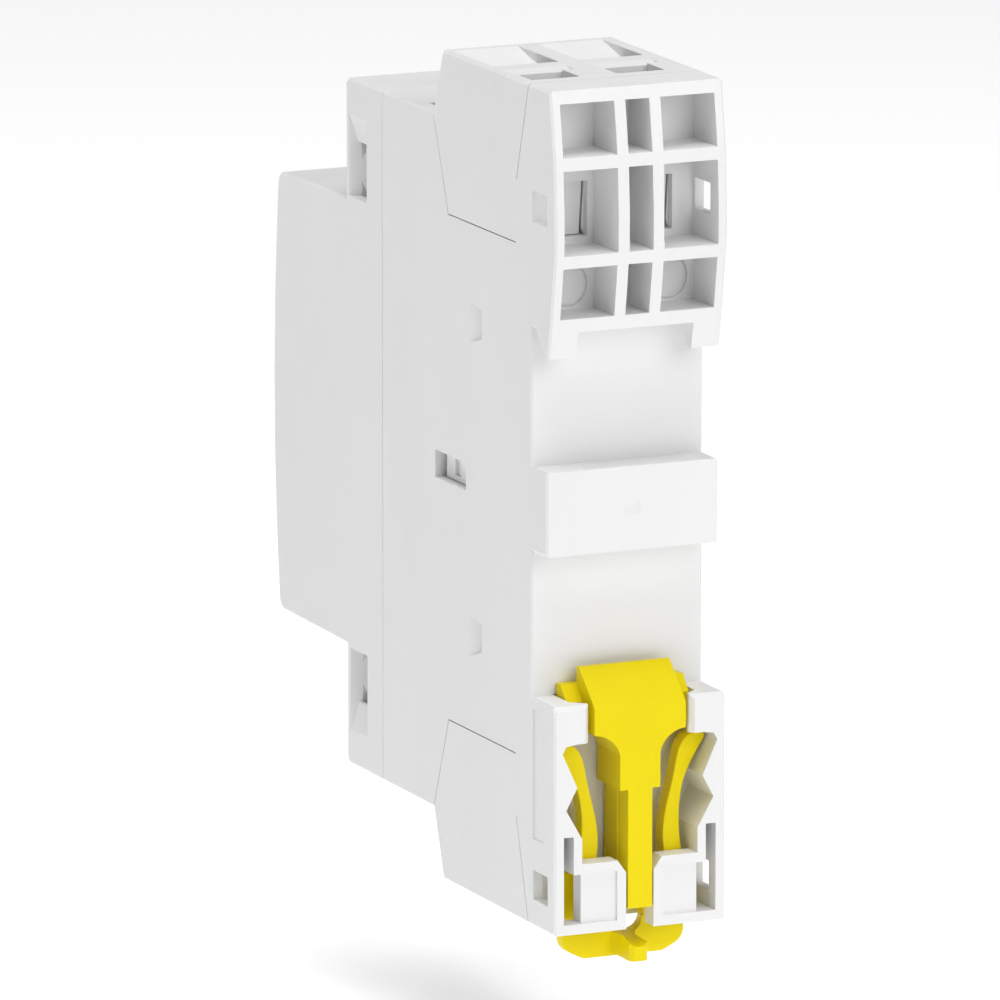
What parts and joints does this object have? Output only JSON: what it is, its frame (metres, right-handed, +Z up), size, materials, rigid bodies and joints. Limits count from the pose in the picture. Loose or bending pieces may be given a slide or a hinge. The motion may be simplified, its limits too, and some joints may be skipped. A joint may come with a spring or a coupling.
{
  "type": "din rail contactor",
  "caption": "Narrow modular contactor for a 35 mm top-hat rail: stepped white housing, terminal covers top and bottom, yellow sliding rail clip, coil, armature and bridging contacts.",
  "frame": {"origin": "middle of the rail seat, on the plane that the front of the rail's flanges rests on", "axes": "+X across the width, +Y towards the rail, +Z up; the nose faces -Y"},
  "size_m": [0.018, 0.068, 0.0854],
  "materials": {
    "housing_plastic": "fine spark-eroded moulding, very light warm grey",
    "clip_plastic": "smooth saturated yellow moulding",
    "inner_plastic": "dark glass-filled moulding",
    "former_plastic": "natural nylon",
    "clear_plastic": "clear polycarbonate",
    "lens_plastic": "translucent red",
    "flag_plastic": "red moulding",
    "zinc_steel": "zinc-plated steel",
    "lamination": "stacked electrical steel",
    "copper": "tinned copper strip",
    "winding": "enamelled copper wire",
    "silver": "silver alloy",
    "spring_steel": "spring wire",
    "pad_rubber": "soft rubber"
  },
  "bodies": {
    "housing": {"base_housing": "housing_plastic", "front_cover": "housing_plastic", "terminal_cover_upper": "housing_plastic", "terminal_cover_lower": "housing_plastic", "label_cover": "clear_plastic", "indicator_lens": "lens_plastic", "fixed_core": "lamination", "shading_rings": "copper", "core_pad": "pad_rubber", "bobbin": "former_plastic", "coil_winding": "winding", "coil_shield": "housing_plastic", "coil_lead_a1": "copper", "coil_lead_a2": "copper", "contact_support": "inner_plastic", "fixed_contact_tips": "silver", "return_spring_upper": "spring_steel", "return_spring_lower": "spring_steel", "power_conductor_1": "copper", "power_conductor_2": "copper", "power_conductor_3": "copper", "power_conductor_4": "copper"},
    "clip": {"rail_clip": "clip_plastic", "rail_clip_spring_arms": "clip_plastic"},
    "carrier": {"contact_carrier": "inner_plastic", "armature": "lamination", "armature_pin": "zinc_steel", "state_flag": "flag_plastic", "contact_spring_1_2": "spring_steel", "contact_spring_3_4": "spring_steel"},
    "bridge_1_2": {"contact_bridge_1_2": "copper"},
    "bridge_3_4": {"contact_bridge_3_4": "copper"},
    "power_screw_1": {"power_screw_1": "zinc_steel"},
    "power_cage_1": {"power_cage_1": "zinc_steel"},
    "power_screw_3": {"power_screw_3": "zinc_steel"},
    "power_cage_3": {"power_cage_3": "zinc_steel"},
    "power_screw_2": {"power_screw_2": "zinc_steel"},
    "power_cage_2": {"power_cage_2": "zinc_steel"},
    "power_screw_4": {"power_screw_4": "zinc_steel"},
    "power_cage_4": {"power_cage_4": "zinc_steel"},
    "coil_screw_a1": {"coil_screw_a1": "zinc_steel"},
    "coil_cage_a1": {"coil_cage_a1": "zinc_steel"},
    "coil_screw_a2": {"coil_screw_a2": "zinc_steel"},
    "coil_cage_a2": {"coil_cage_a2": "zinc_steel"}
  },
  "joints": [
    {"name": "clip_slide", "type": "slide", "parent": "housing", "child": "clip", "axis": [0, 0, -1], "range_m": [0, 0.00557], "deforming": ["rail_clip_spring_arms"]},
    {"name": "carrier_slide", "type": "slide", "parent": "housing", "child": "carrier", "axis": [0, 1, 0], "range_m": [0, 0.003], "stiffness_N_per_m": 400, "springref_m": -0.004, "deforming": ["return_spring_upper", "return_spring_lower"]},
    {"name": "bridge_1_2_overtravel", "type": "slide", "parent": "carrier", "child": "bridge_1_2", "axis": [0, -1, 0], "range_m": [0, 0.00081], "deforming": ["contact_spring_1_2"]},
    {"name": "bridge_3_4_overtravel", "type": "slide", "parent": "carrier", "child": "bridge_3_4", "axis": [0, -1, 0], "range_m": [0, 0.00081], "deforming": ["contact_spring_3_4"]},
    {"name": "power_screw_1_turn", "type": "hinge", "parent": "housing", "child": "power_screw_1", "pos_m": [0.00445, -0.03, 0.0252], "axis": [0, 1, 0], "range_deg": [0, 1982]},
    {"name": "power_cage_1_slide", "type": "slide", "parent": "housing", "child": "power_cage_1", "axis": [0, -1, 0], "range_m": [0, 0.00385]},
    {"name": "power_screw_3_turn", "type": "hinge", "parent": "housing", "child": "power_screw_3", "pos_m": [-0.00445, -0.03, 0.0252], "axis": [0, 1, 0], "range_deg": [0, 1982]},
    {"name": "power_cage_3_slide", "type": "slide", "parent": "housing", "child": "power_cage_3", "axis": [0, -1, 0], "range_m": [0, 0.00385]},
    {"name": "power_screw_2_turn", "type": "hinge", "parent": "housing", "child": "power_screw_2", "pos_m": [0.00445, -0.03, -0.0252], "axis": [0, 1, 0], "range_deg": [0, 1982]},
    {"name": "power_cage_2_slide", "type": "slide", "parent": "housing", "child": "power_cage_2", "axis": [0, -1, 0], "range_m": [0, 0.00385]},
    {"name": "power_screw_4_turn", "type": "hinge", "parent": "housing", "child": "power_screw_4", "pos_m": [-0.00445, -0.03, -0.0252], "axis": [0, 1, 0], "range_deg": [0, 1982]},
    {"name": "power_cage_4_slide", "type": "slide", "parent": "housing", "child": "power_cage_4", "axis": [0, -1, 0], "range_m": [0, 0.00385]},
    {"name": "coil_screw_a1_turn", "type": "hinge", "parent": "housing", "child": "coil_screw_a1", "pos_m": [0.0045, -0.03, 0.0312], "axis": [0, 1, 0], "range_deg": [0, 1729.7]},
    {"name": "coil_cage_a1_slide", "type": "slide", "parent": "housing", "child": "coil_cage_a1", "axis": [0, -1, 0], "range_m": [0, 0.0024]},
    {"name": "coil_screw_a2_turn", "type": "hinge", "parent": "housing", "child": "coil_screw_a2", "pos_m": [0.0045, -0.03, -0.0312], "axis": [0, 1, 0], "range_deg": [0, 1729.7]},
    {"name": "coil_cage_a2_slide", "type": "slide", "parent": "housing", "child": "coil_cage_a2", "axis": [0, -1, 0], "range_m": [0, 0.0024]}
  ],
  "couplings": [
    {"joint": "bridge_1_2_overtravel", "follows": "carrier_slide", "ratio": 0.2667},
    {"joint": "bridge_3_4_overtravel", "follows": "carrier_slide", "ratio": 0.2667},
    {"joint": "power_screw_1_turn", "follows": "power_cage_1_slide", "rad_per_m": 8976},
    {"joint": "power_screw_3_turn", "follows": "power_cage_3_slide", "rad_per_m": 8976},
    {"joint": "power_screw_2_turn", "follows": "power_cage_2_slide", "rad_per_m": 8976},
    {"joint": "power_screw_4_turn", "follows": "power_cage_4_slide", "rad_per_m": 8976},
    {"joint": "coil_screw_a1_turn", "follows": "coil_cage_a1_slide", "rad_per_m": 12566},
    {"joint": "coil_screw_a2_turn", "follows": "coil_cage_a2_slide", "rad_per_m": 12566}
  ]
}
